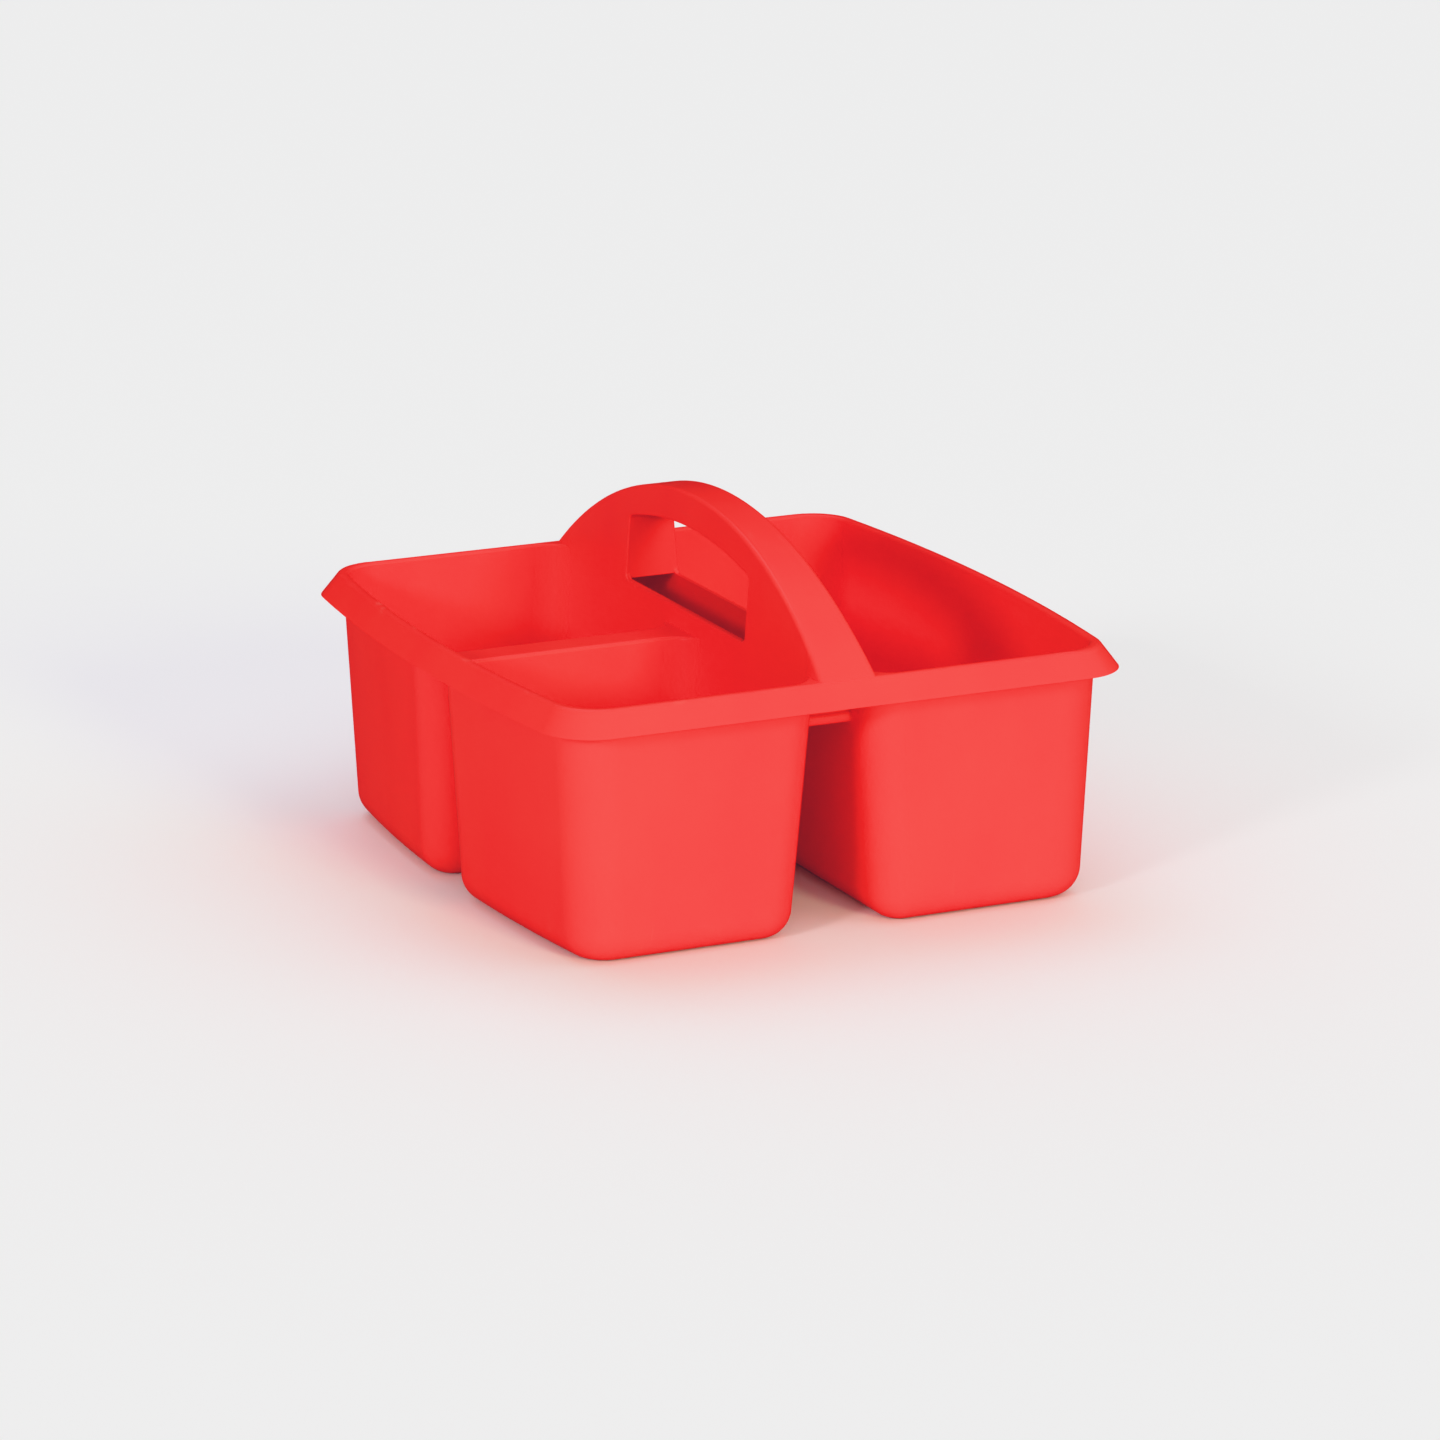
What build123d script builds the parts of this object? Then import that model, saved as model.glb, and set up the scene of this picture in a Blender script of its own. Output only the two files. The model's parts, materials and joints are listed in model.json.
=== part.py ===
"""Cleaning caddy: three open bins, a sloping rim and an arched carry handle.

Millimetres.  The caddy rests on Z = 0, X runs left to right, Y runs front to
back, and the origin is the middle of its footprint.
"""
import os
from math import cos, radians, sin, sqrt, tan

from build123d import *

os.makedirs("parts", exist_ok=True)

# overall size
WIDTH = 228.6            # across the rim, at the middle of the bowed sides
DEPTH = 235.8            # front edge of the rim to its back edge
HANDLE_TOP = 133.0       # highest point of the handle
CREST = 92.0             # ridge of the rim

# rim
RIM_LOW = 83.4           # lower edge of the sloping skirt
RIM_SLOPE = 5.6          # how far the slope carries the ridge in from the lower edge
RIDGE_ROUND = 1.8        # rounding along the outside of the ridge
MOUTH_ROUND = 1.2        # rounding along the inside of the ridge
RIM_WALL = 2.4           # skirt thickness, measured level
RIM_CORNER = 19.0        # corner radius of the lower edge
CREST_CORNER = 16.2      # corner radius of the ridge
SIDE_BOW = 7.9           # how much the left and right sides swell outward
LID_UNDER = 89.3         # underside of the ridge where skirt and walls meet

# bins
WALL = 2.0               # wall thickness
FLOOR = 2.4              # floor thickness
WALL_INSET = 6.8         # outer wall face from the rim edge, at the rim's lower edge
DRAFT = tan(radians(2.4))
SPINE_DRAFT = tan(radians(4.6))
OUTER_CORNER = 17.5      # vertical corners at the four corners of the caddy
INNER_CORNER = 12.0      # vertical corners beside the handle and the divider
BASE_ROUND = 10.5        # rounding between floor and walls
FOOT_TIGHTER = 1.5       # how much tighter the outer corners are at the floor
DIVIDER_TOP = 84.2       # saddle between the two small bins
DIVIDER_GAP = 4.7        # half the slot between the small bins, at the saddle
SADDLE_WALL = 2.2        # thickness of the saddle
SADDLE_ROUND = 1.2       # rounding along both sides of the saddle

# handle
SPINE_HALF = 10.6        # half width of the handle at the ridge of the rim
BAND = 2.6               # thickness of the top band
BAND_ROUND = 1.5         # rounding along both edges of the top band
FOOT_Y = 112.3           # where the band runs into the rim
CHANNEL_END = 106.0      # inside end of the hollow handle
CHANNEL_LOW = 88.0       # where the hollow handle opens into the gap between the bins
GRIP_HALF = 50.5         # half length of the hand hole
GRIP_LOW = 91.4          # lower edge of the hand hole
GRIP_SHOULDER = 114.6    # where the arched top of the hand hole starts
GRIP_TOP = 121.0         # top of the hand hole
GRIP_ROUND = 2.0         # corner rounding of the hand hole
GRIP_EDGE = 0.7          # rounding around the hand hole on the outer faces

# bridge wall under the rim at each end of the handle
APRON_Y = 92.0           # middle of the wall
APRON_LOW = 73.4         # centre of the bead along its lower edge
BEAD = 2.2               # radius of the bead

# where one named region turns into the next
SPLIT = 83.0             # level where the bins end and the rim begins
SADDLE_REACH = 104.5     # outer end of the saddle
SADDLE_ZONE = 50.0       # front to back length that the saddle is cut out of

WALL_TOP = LID_UNDER + 0.9
OVER_HALF = 21.0         # half length of the open space over the saddle
SLOT_BRIDGE = 18.0       # half length of what closes the slot between the small bins
SLOPE = RIM_SLOPE / (CREST - RIM_LOW)
SKY = HANDLE_TOP + 10.0  # above everything, for cuts that run out of the top
FAR = 150.0              # beyond the caddy on every side, for cutting boxes
OVERLAP = 0.1            # how deep joined shapes run into each other
SHAVE = 0.05             # how much wider a cut is than the wall it cuts flush
ROUND_STEPS = 4          # flats in a quarter round
HALF_W = WIDTH / 2
HALF_D = DEPTH / 2
UP = (Align.CENTER, Align.CENTER, Align.MIN)
DOWN = (Align.CENTER, Align.CENTER, Align.MAX)


def spine_face(height, inset=0.0):
    """Half width of the handle at a height; the bins beside it share this face."""
    return SPINE_HALF - SPINE_DRAFT * (height - CREST) - inset


def wall_inset(height):
    """Distance from the rim edge to the outer wall face at a height."""
    return WALL_INSET + DRAFT * (RIM_LOW - height)


def gap_half(height):
    """Half width of the slot between the small bins at a height."""
    return DIVIDER_GAP + DRAFT * (DIVIDER_TOP - height)


def side_x(inset, y):
    """Half width of the bowed outline at a distance from the middle."""
    end = HALF_D - inset
    radius = (end * end + SIDE_BOW * SIDE_BOW) / (2 * SIDE_BOW)
    return HALF_W - inset - radius + sqrt(radius * radius - y * y)


def round_over(low, radius):
    """Heights and flares of a quarter round, from an upright wall to level."""
    rows = []
    for step in range(1, ROUND_STEPS + 1):
        turn = radians(90) * step / ROUND_STEPS
        rows.append((low + radius * sin(turn), radius * (1 - cos(turn))))
    return rows


def caddy_outline(height, inset, corner):
    """Whole outline of the caddy: straight ends, bowed sides, round corners."""
    y = HALF_D - inset
    x = side_x(inset, y)
    mid = side_x(inset, 0)
    with BuildSketch(Plane.XY.offset(height), mode=Mode.PRIVATE) as outline:
        with BuildLine():
            Line((-x, -y), (x, -y))
            ThreePointArc((x, -y), (mid, 0), (x, y))
            Line((x, y), (-x, y))
            ThreePointArc((-x, y), (-mid, 0), (-x, -y))
        make_face()
        fillet(outline.vertices(), corner)
    return outline.sketch


def is_outer(vertex):
    """True near the four corners of the caddy."""
    return abs(vertex.X) > HALF_W / 2 and abs(vertex.Y) > HALF_D / 2


def bin_outline(height, side, inset, near_x, span, corner, near_corner):
    """One bin: straight beside the handle, bowed on the outside of the caddy."""
    front, rear = span
    near = side * near_x
    a = (side * side_x(inset, front), front)
    b = (side * side_x(inset, (front + rear) / 2), (front + rear) / 2)
    c = (side * side_x(inset, rear), rear)
    with BuildSketch(Plane.XY.offset(height), mode=Mode.PRIVATE) as outline:
        with BuildLine():
            Line((near, front), a)
            ThreePointArc(a, b, c)
            Line(c, (near, rear))
            Line((near, rear), (near, front))
        make_face()
        fillet([v for v in outline.vertices() if is_outer(v)], corner)
        fillet([v for v in outline.vertices() if not is_outer(v)], near_corner)
    return outline.sketch


def bin_section(side, row, height, wall, corner, near_corner, flare=0.0, toward=0.0, clear=0.0):
    """Outline of a bin at a height, flared outward or toward the divider, clear of the handle."""
    inset = wall_inset(height) + wall - flare
    end = HALF_D - inset
    slot = gap_half(height) + wall - toward
    spans = {"whole": (-end, end), "front": (-end, -slot), "rear": (slot, end)}
    near_x = spine_face(height, WALL - wall - clear)
    return bin_outline(height, side, inset, near_x, spans[row], corner, near_corner)


def bin_outside(side, row):
    """Solid outside shape of a bin, up to the underside of the rim."""
    with BuildPart(mode=Mode.PRIVATE) as shape:
        foot = bin_section(side, row, 0, 0, OUTER_CORNER - FOOT_TIGHTER, INNER_CORNER)
        head = bin_section(side, row, WALL_TOP, 0, OUTER_CORNER, INNER_CORNER)
        loft(sections=[foot, head], ruled=True)
        fillet(shape.edges().group_by(Axis.Z)[0], BASE_ROUND)
    return shape.part


def bin_inside(side, row, top, steps=()):
    """Hollow of a bin; steps add (height, reach toward the divider) above it."""
    corner = OUTER_CORNER - WALL
    near = INNER_CORNER - WALL
    with BuildPart(mode=Mode.PRIVATE) as shape:
        foot = bin_section(side, row, FLOOR, WALL, corner - FOOT_TIGHTER, near)
        head = bin_section(side, row, top, WALL, corner, near)
        loft(sections=[foot, head], ruled=True)
        fillet(shape.edges().group_by(Axis.Z)[0], BASE_ROUND - WALL)
        below = head
        for height, toward in steps:
            above = bin_section(side, row, height, WALL, corner, near, toward=toward)
            loft(sections=[below, above], ruled=True)
            below = above
    return shape.part


def over_divider():
    """Open space over the saddle, joining the two small bins."""
    sections = []
    for height in (DIVIDER_TOP, SKY):
        inset = wall_inset(height) + WALL - SHAVE
        near = spine_face(height)
        mid = side_x(inset, 0)
        end = side_x(inset, OVER_HALF)
        with BuildSketch(Plane.XY.offset(height), mode=Mode.PRIVATE) as outline:
            with BuildLine():
                Line((-near, -OVER_HALF), (-end, -OVER_HALF))
                ThreePointArc((-end, -OVER_HALF), (-mid, 0), (-end, OVER_HALF))
                Line((-end, OVER_HALF), (-near, OVER_HALF))
                Line((-near, OVER_HALF), (-near, -OVER_HALF))
            make_face()
        sections.append(outline.sketch)
    with BuildPart(mode=Mode.PRIVATE) as shape:
        loft(sections=sections, ruled=True)
    return shape.part


def rim_mouth(side):
    """Rounding of the ridge on the inside, over the whole length of one side."""
    corner = OUTER_CORNER - WALL
    near = INNER_CORNER - WALL
    low = CREST - MOUTH_ROUND
    rows = [(low, -SHAVE)] + round_over(low, MOUTH_ROUND)
    rows.append((CREST + MOUTH_ROUND, MOUTH_ROUND))
    with BuildPart(mode=Mode.PRIVATE) as shape:
        for (z0, flare0), (z1, flare1) in zip(rows, rows[1:]):
            below = bin_section(side, "whole", z0, WALL, corner, near, flare0, clear=OVERLAP)
            above = bin_section(side, "whole", z1, WALL, corner, near, flare1, clear=OVERLAP)
            loft(sections=[below, above], ruled=True)
    return shape.part


def arch_profile(drop, low, half_length):
    """Side view of the handle arch, lowered by a wall thickness."""
    rise = HANDLE_TOP - CREST
    full = (FOOT_Y * FOOT_Y + rise * rise) / (2 * rise)
    centre = HANDLE_TOP - full
    radius = full - drop
    shoulder = centre + sqrt(radius * radius - half_length * half_length)
    with BuildSketch(Plane.YZ, mode=Mode.PRIVATE) as profile:
        with BuildLine():
            Line((-half_length, low), (-half_length, shoulder))
            ThreePointArc((-half_length, shoulder), (0, centre + radius), (half_length, shoulder))
            Line((half_length, shoulder), (half_length, low))
            Line((half_length, low), (-half_length, low))
        make_face()
    return profile.sketch


def spine_wedge(inset, low, high, half_length):
    """Tapered bar running front to back under and inside the handle."""
    with BuildPart(mode=Mode.PRIVATE) as bar:
        with BuildSketch(Plane.XY.offset(low)):
            Rectangle(2 * spine_face(low, inset), 2 * half_length)
        with BuildSketch(Plane.XY.offset(high)):
            Rectangle(2 * spine_face(high, inset), 2 * half_length)
        loft(ruled=True)
    return bar.part


def region(x_low, x_high, y_low, y_high):
    """Tall block over a range of X and Y, for keeping one part of a shape."""
    with BuildPart(mode=Mode.PRIVATE) as block:
        with Locations(((x_low + x_high) / 2, (y_low + y_high) / 2, 0)):
            Box(x_high - x_low, y_high - y_low, 2 * SKY)
    return block.part


def hole_edges(faces, direction):
    """Edges around the hand hole on the outer face that looks along -X or +X."""
    outward = faces.filter_by(lambda face: direction * face.normal_at().X > 0.9)
    return outward.sort_by(SortBy.AREA)[-1].inner_wires().edges()


# outside of the rim, rounded over at the ridge
with BuildPart() as rim_outside:
    lower_edge = caddy_outline(RIM_LOW, 0.0, RIM_CORNER)
    ridge = caddy_outline(CREST, RIM_SLOPE, CREST_CORNER)
    loft(sections=[lower_edge, ridge], ruled=True)
    fillet(rim_outside.edges().group_by(Axis.Z)[-1], RIDGE_ROUND)

# space under the sloping skirt
with BuildPart() as rim_under:
    skirt_edge = caddy_outline(RIM_LOW - 1, RIM_WALL - SLOPE, RIM_CORNER - RIM_WALL / 2)
    ceiling_inset = RIM_WALL + SLOPE * (LID_UNDER - RIM_LOW)
    ceiling = caddy_outline(LID_UNDER, ceiling_inset, CREST_CORNER)
    loft(sections=[skirt_edge, ceiling], ruled=True)

# hollow of the handle, split by the walls that cross it
under_profile = arch_profile(BAND, SPLIT, CHANNEL_END)
with BuildPart() as channel:
    add(spine_wedge(WALL - SHAVE, CHANNEL_LOW, SKY, CHANNEL_END))
    extrude(under_profile, amount=FAR, both=True, mode=Mode.INTERSECT)
    with Locations(*[(0, end * (GRIP_HALF + WALL / 2), GRIP_LOW) for end in (-1, 1)]):
        Box(HALF_W, WALL, HALF_W, align=UP, mode=Mode.SUBTRACT)
    with Locations(*[(0, end * APRON_Y, APRON_LOW) for end in (-1, 1)]):
        Box(HALF_W, WALL, HALF_W, align=UP, mode=Mode.SUBTRACT)

# hand hole through both sides of the handle
with BuildPart() as grip:
    with BuildSketch(Plane.YZ) as grip_side:
        with BuildLine():
            Line((-GRIP_HALF, GRIP_LOW), (-GRIP_HALF, GRIP_SHOULDER))
            ThreePointArc((-GRIP_HALF, GRIP_SHOULDER), (0, GRIP_TOP), (GRIP_HALF, GRIP_SHOULDER))
            Line((GRIP_HALF, GRIP_SHOULDER), (GRIP_HALF, GRIP_LOW))
            Line((GRIP_HALF, GRIP_LOW), (-GRIP_HALF, GRIP_LOW))
        make_face()
        fillet(grip_side.vertices(), GRIP_ROUND)
    extrude(amount=HALF_W / 2, both=True)

# solid arch of the handle, its band rounded along both edges
outer_profile = arch_profile(0.0, CREST - 1, FOOT_Y - OVERLAP)
with BuildPart() as arch:
    add(spine_wedge(-OVERLAP, CREST - 1, SKY, FOOT_Y))
    extrude(outer_profile, amount=FAR, both=True, mode=Mode.INTERSECT)
    fillet(arch.edges().sort_by(SortBy.LENGTH)[-2:], BAND_ROUND)

# side of the handle where it bridges the slot between the small bins
web_outer = spine_wedge(-OVERLAP, DIVIDER_TOP - SADDLE_WALL, CREST - 0.5, SLOT_BRIDGE)
web_inner = spine_wedge(WALL, DIVIDER_TOP - SADDLE_WALL - 1, CREST, SLOT_BRIDGE + 2)
with BuildPart() as slot_web:
    add(web_outer)
    add(web_inner, mode=Mode.SUBTRACT)
    with Locations((-FAR / 2, 0, CREST)):
        Box(FAR, FAR, FAR, mode=Mode.INTERSECT)

# outer wall where it bridges the same slot, from the saddle up to the ridge
with BuildPart() as slot_end:
    bridge_foot = DIVIDER_TOP - SADDLE_WALL
    foot = bin_section(-1, "whole", bridge_foot, SHAVE, OUTER_CORNER, INNER_CORNER)
    head = bin_section(-1, "whole", WALL_TOP, SHAVE, OUTER_CORNER, INNER_CORNER)
    loft(sections=[foot, head], ruled=True)
    with Locations((-HALF_W, 0, 0)):
        Box(HALF_W / 4, 2 * SLOT_BRIDGE, 2 * SKY, mode=Mode.INTERSECT)

# outside and inside shapes of the three bins
large_outside = bin_outside(1, "whole")
front_outside = bin_outside(-1, "front")
rear_outside = bin_outside(-1, "rear")
saddle_low = DIVIDER_TOP - SADDLE_ROUND
saddle_steps = round_over(saddle_low, SADDLE_ROUND) + [(SKY, SADDLE_ROUND)]
large_inside = bin_inside(1, "whole", SKY)
front_inside = bin_inside(-1, "front", saddle_low, saddle_steps)
rear_inside = bin_inside(-1, "rear", saddle_low, saddle_steps)
over_saddle = over_divider()
mouths = [rim_mouth(1), rim_mouth(-1)]

# bridge walls under the rim at the ends of the handle, each with a bead
apron_top = WALL_TOP + 2 * OVERLAP
with BuildPart() as bridge_walls:
    with Locations(*[(0, end * APRON_Y, APRON_LOW) for end in (-1, 1)]):
        Box(2 * SPINE_HALF, WALL, apron_top - APRON_LOW, align=UP)
        Cylinder(BEAD, 2 * SPINE_HALF + WALL, rotation=(0, 90, 0))

# the whole moulding
saddle_end = side_x(wall_inset(DIVIDER_TOP), 0) - WALL / 2
saddle_start = spine_face(DIVIDER_TOP) - WALL / 2
with BuildPart() as caddy:
    add(rim_outside.part)
    add(rim_under.part, mode=Mode.SUBTRACT)
    add(large_outside)
    add(front_outside)
    add(rear_outside)
    add(arch.part)
    add(slot_web.part)
    add(slot_end.part)
    add(bridge_walls.part)
    with Locations((-(saddle_start + saddle_end) / 2, 0, DIVIDER_TOP - SADDLE_WALL)):
        Box(saddle_end - saddle_start, 2 * SLOT_BRIDGE, 2 * SADDLE_WALL, align=UP)
    add(large_inside, mode=Mode.SUBTRACT)
    add(front_inside, mode=Mode.SUBTRACT)
    add(rear_inside, mode=Mode.SUBTRACT)
    add(over_saddle, mode=Mode.SUBTRACT)
    add(mouths, mode=Mode.SUBTRACT)
    add(channel.part, mode=Mode.SUBTRACT)
    add(grip.part, mode=Mode.SUBTRACT)

# zones that divide the moulding where one region turns into the next
band_height = CREST - SPLIT
with BuildPart() as below_split:
    with Locations((0, 0, SPLIT)):
        Box(2 * FAR, 2 * FAR, FAR, align=DOWN)
with BuildPart() as inner_zone:
    with Locations((0, 0, SPLIT)):
        Box(HALF_W, 2 * CHANNEL_END, band_height, align=UP)
        Box(2 * SADDLE_REACH, SADDLE_ZONE, band_height, align=UP)
with BuildPart() as rim_zone:
    with Locations((0, 0, SPLIT)):
        Box(2 * FAR, 2 * FAR, band_height, align=UP)
    add(inner_zone.part, mode=Mode.SUBTRACT)
with BuildPart() as saddle_zone:
    with Locations((-(SADDLE_REACH + spine_face(SPLIT)) / 2, 0, SPLIT)):
        Box(SADDLE_REACH - spine_face(SPLIT), SADDLE_ZONE, 2 * SADDLE_WALL, align=UP)
with BuildPart() as handle_zone:
    add(inner_zone.part)
    add(saddle_zone.part, mode=Mode.SUBTRACT)
    with Locations((0, 0, CREST)):
        Box(2 * FAR, 2 * FAR, FAR, align=UP)
with BuildPart() as under_band:
    extrude(under_profile, amount=FAR, both=True)
with BuildPart() as between_sides:
    add(spine_wedge(WALL - SHAVE, GRIP_LOW - WALL, SKY, APRON_Y - 2 * WALL))
with BuildPart() as bridge_zone:
    with Locations(*[(0, end * APRON_Y, SPLIT) for end in (-1, 1)]):
        Box(HALF_W, WALL, HALF_W, align=UP)
    add(spine_wedge(WALL - SHAVE, SPLIT, SKY, CHANNEL_END), mode=Mode.INTERSECT)

# bins
with BuildPart() as large_bin:
    add(caddy.part)
    add(below_split.part, mode=Mode.INTERSECT)
    add(large_outside, mode=Mode.INTERSECT)
with BuildPart() as front_small_bin:
    add(caddy.part)
    add(below_split.part, mode=Mode.INTERSECT)
    add(front_outside, mode=Mode.INTERSECT)
with BuildPart() as rear_small_bin:
    add(caddy.part)
    add(below_split.part, mode=Mode.INTERSECT)
    add(rear_outside, mode=Mode.INTERSECT)

# rim
with BuildPart() as rim:
    add(caddy.part)
    add(rim_zone.part, mode=Mode.INTERSECT)

# handle
with BuildPart() as handle:
    add(caddy.part)
    add(handle_zone.part, mode=Mode.INTERSECT)
with BuildPart() as handle_band:
    add(handle.part)
    add(under_band.part, mode=Mode.SUBTRACT)
with BuildPart() as below_band:
    add(handle.part)
    add(under_band.part, mode=Mode.INTERSECT)
with BuildPart() as sides:
    add(below_band.part)
    add(between_sides.part, mode=Mode.SUBTRACT)
    add(bridge_zone.part, mode=Mode.SUBTRACT)
with BuildPart() as left_handle_side:
    add(sides.part)
    add(region(-FAR, 0, -FAR, FAR), mode=Mode.INTERSECT)
    fillet(hole_edges(left_handle_side.faces(), -1), GRIP_EDGE)
with BuildPart() as right_handle_side:
    add(sides.part)
    add(region(0, FAR, -FAR, FAR), mode=Mode.INTERSECT)
    fillet(hole_edges(right_handle_side.faces(), 1), GRIP_EDGE)
with BuildPart() as grip_walls:
    add(below_band.part)
    add(between_sides.part, mode=Mode.INTERSECT)
with BuildPart() as front_grip_wall:
    add(grip_walls.part)
    add(region(-FAR, FAR, -FAR, 0), mode=Mode.INTERSECT)
with BuildPart() as rear_grip_wall:
    add(grip_walls.part)
    add(region(-FAR, FAR, 0, FAR), mode=Mode.INTERSECT)

# webs left between the bins below the rim, and the bridge walls above them
with BuildPart() as webs:
    add(caddy.part)
    add(below_split.part, mode=Mode.INTERSECT)
    add([large_outside, front_outside, rear_outside], mode=Mode.SUBTRACT)
with BuildPart() as bridge_tops:
    add(below_band.part)
    add(bridge_zone.part, mode=Mode.INTERSECT)
with BuildPart() as front_apron:
    add(webs.part)
    add(bridge_tops.part)
    add(region(-FAR, FAR, -FAR, -GRIP_HALF), mode=Mode.INTERSECT)
with BuildPart() as rear_apron:
    add(webs.part)
    add(bridge_tops.part)
    add(region(-FAR, FAR, GRIP_HALF, FAR), mode=Mode.INTERSECT)

# saddle between the two small bins
with BuildPart() as saddle_under:
    add(webs.part)
    add(region(-FAR, 0, -SADDLE_ZONE, SADDLE_ZONE), mode=Mode.INTERSECT)
with BuildPart() as divider_saddle:
    add(caddy.part)
    add(saddle_zone.part, mode=Mode.INTERSECT)
    add(saddle_under.part)

large_bin.part.label = "large_bin"
front_small_bin.part.label = "front_small_bin"
rear_small_bin.part.label = "rear_small_bin"
divider_saddle.part.label = "divider_saddle"
rim.part.label = "rim"
handle_band.part.label = "handle_band"
left_handle_side.part.label = "left_handle_side"
right_handle_side.part.label = "right_handle_side"
front_grip_wall.part.label = "front_grip_wall"
rear_grip_wall.part.label = "rear_grip_wall"
front_apron.part.label = "front_apron"
rear_apron.part.label = "rear_apron"

export_step(large_bin.part, "parts/large_bin.step")
export_step(front_small_bin.part, "parts/front_small_bin.step")
export_step(rear_small_bin.part, "parts/rear_small_bin.step")
export_step(divider_saddle.part, "parts/divider_saddle.step")
export_step(rim.part, "parts/rim.step")
export_step(handle_band.part, "parts/handle_band.step")
export_step(left_handle_side.part, "parts/left_handle_side.step")
export_step(right_handle_side.part, "parts/right_handle_side.step")
export_step(front_grip_wall.part, "parts/front_grip_wall.step")
export_step(rear_grip_wall.part, "parts/rear_grip_wall.step")
export_step(front_apron.part, "parts/front_apron.step")
export_step(rear_apron.part, "parts/rear_apron.step")
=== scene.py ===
"""Cleaning caddy: looks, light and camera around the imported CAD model.

Metres, in the CAD frame: the caddy stands on Z = 0 and its front faces -Y.
"""

import json
from math import cos, radians, sin

import bpy
from mathutils import Matrix, Vector

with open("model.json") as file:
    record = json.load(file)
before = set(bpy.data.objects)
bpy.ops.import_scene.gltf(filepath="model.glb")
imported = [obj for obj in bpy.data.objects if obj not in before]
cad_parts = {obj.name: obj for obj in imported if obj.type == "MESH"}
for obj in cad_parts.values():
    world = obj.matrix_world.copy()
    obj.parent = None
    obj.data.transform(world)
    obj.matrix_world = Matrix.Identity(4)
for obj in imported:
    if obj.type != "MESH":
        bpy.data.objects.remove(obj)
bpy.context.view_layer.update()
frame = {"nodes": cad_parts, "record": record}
scene = bpy.context.scene

# ---------------------------------------------------------------- camera

VIEW_AZIMUTH = -24.71       # degrees, 0 looks along +Y
VIEW_ELEVATION = 15.54
VIEW_ROLL = -0.17
VIEW_DISTANCE = 2.1255
AIM_HEIGHT = 0.04966
LENS = 148.76               # mm
SENSOR = 36                 # mm
FAR_CLIP = 50               # metres
SHIFT_X = 0.00638


def direction(azimuth, elevation):
    """Unit vector from the object towards a place around it; azimuth 0 is the front."""
    a, e = radians(azimuth), radians(elevation)
    return Vector((sin(a) * cos(e), -cos(a) * cos(e), sin(e)))


def make_camera():
    data = bpy.data.cameras.new("camera")
    data.sensor_width = SENSOR
    data.lens = LENS
    data.shift_x = SHIFT_X
    data.clip_end = FAR_CLIP
    camera = bpy.data.objects.new("camera", data)
    scene.collection.objects.link(camera)
    back = direction(VIEW_AZIMUTH, VIEW_ELEVATION)
    aim = (-back).to_track_quat("-Z", "Y").to_matrix().to_4x4()
    roll = Matrix.Rotation(radians(VIEW_ROLL), 4, "Z")
    place = Vector((0, 0, AIM_HEIGHT)) + back * VIEW_DISTANCE
    camera.matrix_world = Matrix.Translation(place) @ aim @ roll
    scene.camera = camera


make_camera()

# ---------------------------------------------------------------- studio

FLOOR_SIZE = 12.0
FLOOR_GREY = (0.93, 0.93, 0.93, 1)
FLOOR_ROUGHNESS = 0.85
FLOOR_SPECULAR = 0.2
SUN_DISTANCE = 3            # where a sun lamp stands; its light does not depend on it
SKY_STRENGTH = 0.35
FLARE = (0.036, 0.037, 0.046)   # veil that bright surroundings lay over the picture


def pale_floor_material():
    material = bpy.data.materials.new("pale_floor")
    material.use_nodes = True
    shader = material.node_tree.nodes["Principled BSDF"]
    shader.inputs["Base Color"].default_value = FLOOR_GREY
    shader.inputs["Roughness"].default_value = FLOOR_ROUGHNESS
    shader.inputs["Specular IOR Level"].default_value = FLOOR_SPECULAR
    return material


def make_floor():
    """Large square on Z = 0; glossy rays miss it, so the walls don't mirror it."""
    mesh = bpy.data.meshes.new("floor")
    h = FLOOR_SIZE / 2
    mesh.from_pydata([(-h, -h, 0), (h, -h, 0), (h, h, 0), (-h, h, 0)], [], [(0, 1, 2, 3)])
    floor = bpy.data.objects.new("floor", mesh)
    mesh.materials.append(pale_floor_material())
    scene.collection.objects.link(floor)
    floor.visible_glossy = False


def soft_sun(name, azimuth, elevation, strength, spread, colour=(1, 1, 1)):
    """Even studio light from one side; spread is how wide its source looks, in degrees."""
    data = bpy.data.lights.new(name, "SUN")
    data.energy = strength
    data.angle = radians(spread)
    data.color = colour
    light = bpy.data.objects.new(name, data)
    scene.collection.objects.link(light)
    back = direction(azimuth, elevation)
    light.location = back * SUN_DISTANCE
    light.rotation_euler = (-back).to_track_quat("-Z", "Y").to_euler()


def make_world(strength):
    """Even white sky, which glossy rays miss as well."""
    world = bpy.data.worlds.new("studio")
    world.use_nodes = True
    background = world.node_tree.nodes["Background"]
    background.inputs["Color"].default_value = (1, 1, 1, 1)
    background.inputs["Strength"].default_value = strength
    world.cycles_visibility.glossy = False
    scene.world = world


def set_picture():
    """Neutral product-photo tones, with a little veiling flare."""
    view = scene.view_settings
    view.view_transform = "Khronos PBR Neutral"
    view.use_curve_mapping = True
    view.curve_mapping.black_level = [-share for share in FLARE]
    view.curve_mapping.update()


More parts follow.
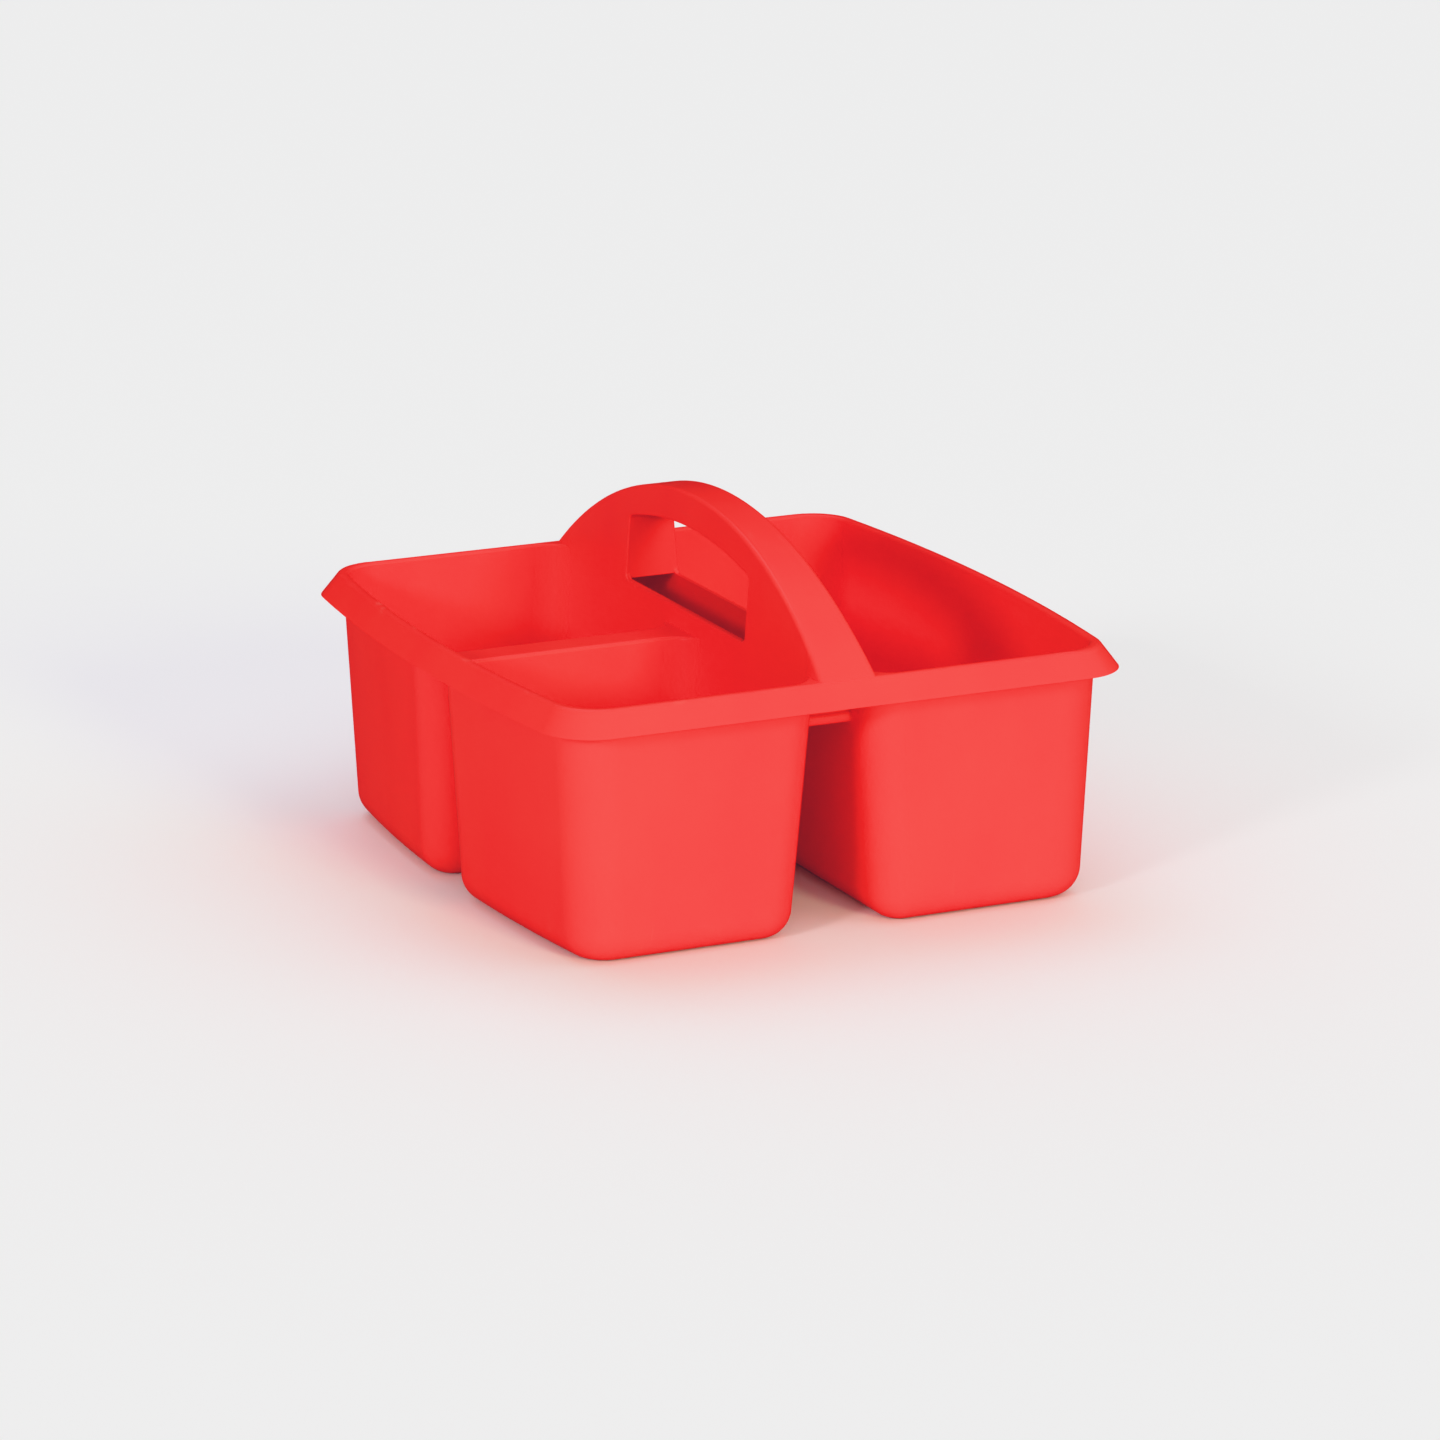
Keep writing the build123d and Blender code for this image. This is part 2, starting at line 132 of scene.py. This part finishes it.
make_floor()
make_world(SKY_STRENGTH)
soft_sun("key", 9, 17, 1.25, 13, (1.0, 1.12, 0.7))
soft_sun("side", -62, 20, 1.1, 10)
soft_sun("fill", -28, 12, 0.5, 50, (1.0, 1.0, 0.85))
soft_sun("front_top", -25, 45, 0.3, 60)
soft_sun("right_top", 60, 45, 0.7, 60, (1.0, 0.98, 1.05))
soft_sun("rear_top", 180, 62, 0.45, 40, (1.0, 0.96, 1.15))
soft_sun("overhead", 150, 75, 0.3, 40, (1.0, 0.94, 1.15))
set_picture()

# ---------------------------------------------------------------- material

RED = (0.98, 0.027, 0.012, 1)
DEEP_RED = (0.95, 0.018, 0.009, 1)
WORN_RED = (0.95, 0.085, 0.060, 1)
SPECULAR = 0.14
GLOSS_CHANGE = 0.03         # how far the flow marks move the roughness either way
WEAR_COLOUR = 0.55          # how far a scratch moves the colour towards WORN_RED
WEAR_ROUGHNESS = 0.18       # how much rougher a scratch is
BUMP_DEPTH = 0.000024       # metres

# pattern scales, in noise cells per metre
CLOUD_SCALE = 16
FLOW_SCALE = 45
SCRATCH_SCALE = 420
PATCH_SCALE = 30
PEEL_SCALE = 1100
GRAIN_SCALE = 4200
WAVE_SCALE = 26
UPRIGHT = (1, 1, 0.18)      # draws the flow marks out along Z

FLOW_SHARE = 0.5            # flow marks in the pigment, where the clouds are 1

# shares of the skin's relief, where the orange peel is 1
GRAIN_SHARE = 0.35
WAVE_SHARE = 2.2
SCRATCH_SHARE = -0.5        # scratches are cut in


def put(tree, kind, sockets, **settings):
    """Add a shader node; sockets gives inputs a value or another node's output."""
    made = tree.nodes.new(kind)
    for key, value in settings.items():
        setattr(made, key, value)
    for key, value in sockets.items():
        if isinstance(value, bpy.types.NodeSocket):
            tree.links.new(value, made.inputs[key])
        else:
            made.inputs[key].default_value = value
    return made


def noise(tree, place, scale, detail, stretch=(1, 1, 1)):
    """Noise over the surface; stretch squeezes it along the axes."""
    squeezed = put(tree, "ShaderNodeVectorMath", {0: place, 1: stretch}, operation="MULTIPLY")
    sockets = {"Vector": squeezed.outputs[0], "Scale": scale, "Detail": detail}
    return put(tree, "ShaderNodeTexNoise", sockets).outputs[0]


def remap(tree, value, low, high, to_low=0.0, to_high=1.0):
    """Value from the range low to high, carried over to another range and clamped."""
    sockets = {"Value": value, "From Min": low, "From Max": high}
    sockets.update({"To Min": to_low, "To Max": to_high})
    return put(tree, "ShaderNodeMapRange", sockets).outputs[0]


def times(tree, a, b):
    return put(tree, "ShaderNodeMath", {0: a, 1: b}, operation="MULTIPLY").outputs[0]


def plus(tree, a, b):
    return put(tree, "ShaderNodeMath", {0: a, 1: b}, operation="ADD").outputs[0]


def blend(tree, factor, a, b):
    """Colour between a and b."""
    mix = put(tree, "ShaderNodeMix", {0: factor, 6: a, 7: b}, data_type="RGBA")
    return mix.outputs[2]


def moulded_plastic(name, roughness, scratch_stretch, wear_low, wear_high):
    """Red polypropylene as moulded and then used.

    The pigment is cloudy with faint flow marks, the skin has orange peel over a
    slightly wavy wall, and fine scratches gather where the height runs from
    wear_low to wear_high.
    """
    material = bpy.data.materials.new(name)
    material.use_nodes = True
    tree = material.node_tree
    shader = tree.nodes["Principled BSDF"]
    place = put(tree, "ShaderNodeTexCoord", {}).outputs["Object"]
    height = put(tree, "ShaderNodeSeparateXYZ", {0: place}).outputs["Z"]

    clouds = noise(tree, place, CLOUD_SCALE, 3)
    flow = noise(tree, place, FLOW_SCALE, 4, UPRIGHT)
    pigment = remap(tree, plus(tree, clouds, times(tree, flow, FLOW_SHARE)), 0.55, 0.95)
    scratches = remap(tree, noise(tree, place, SCRATCH_SCALE, 5, scratch_stretch), 0.62, 0.70)
    patches = remap(tree, noise(tree, place, PATCH_SCALE, 2), 0.42, 0.62)
    rubbed = remap(tree, height, wear_low, wear_high)
    wear = times(tree, times(tree, scratches, patches), rubbed)
    body = blend(tree, pigment, DEEP_RED, RED)
    colour = blend(tree, times(tree, wear, WEAR_COLOUR), body, WORN_RED)
    tree.links.new(colour, shader.inputs["Base Color"])

    gloss = remap(tree, flow, 0.3, 0.7, roughness - GLOSS_CHANGE, roughness + GLOSS_CHANGE)
    rubbed_gloss = plus(tree, gloss, times(tree, wear, WEAR_ROUGHNESS))
    tree.links.new(rubbed_gloss, shader.inputs["Roughness"])

    peel = noise(tree, place, PEEL_SCALE, 2)
    grain = noise(tree, place, GRAIN_SCALE, 1)
    wave = noise(tree, place, WAVE_SCALE, 1)
    skin = plus(tree, peel, times(tree, grain, GRAIN_SHARE))
    wavy_skin = plus(tree, skin, times(tree, wave, WAVE_SHARE))
    worn_skin = plus(tree, wavy_skin, times(tree, wear, SCRATCH_SHARE))
    bump = put(tree, "ShaderNodeBump", {"Distance": BUMP_DEPTH, "Height": worn_skin})
    tree.links.new(bump.outputs[0], shader.inputs["Normal"])
    shader.inputs["Specular IOR Level"].default_value = SPECULAR
    return material


finishes = {
    "bin_plastic": moulded_plastic("bin_plastic", 0.38, (1, 1, 0.06), 0.030, 0.0),
    "rim_plastic": moulded_plastic("rim_plastic", 0.34, (0.3, 0.3, 1), 0.0895, 0.0922),
    "handle_plastic": moulded_plastic("handle_plastic", 0.36, (1, 0.07, 1), 0.105, 0.132),
}
slots = {part["node"]: part["material_slot"] for part in frame["record"]["subparts"]}
for node_name, node in frame["nodes"].items():
    node.data.materials.clear()
    node.data.materials.append(finishes[slots[node_name]])
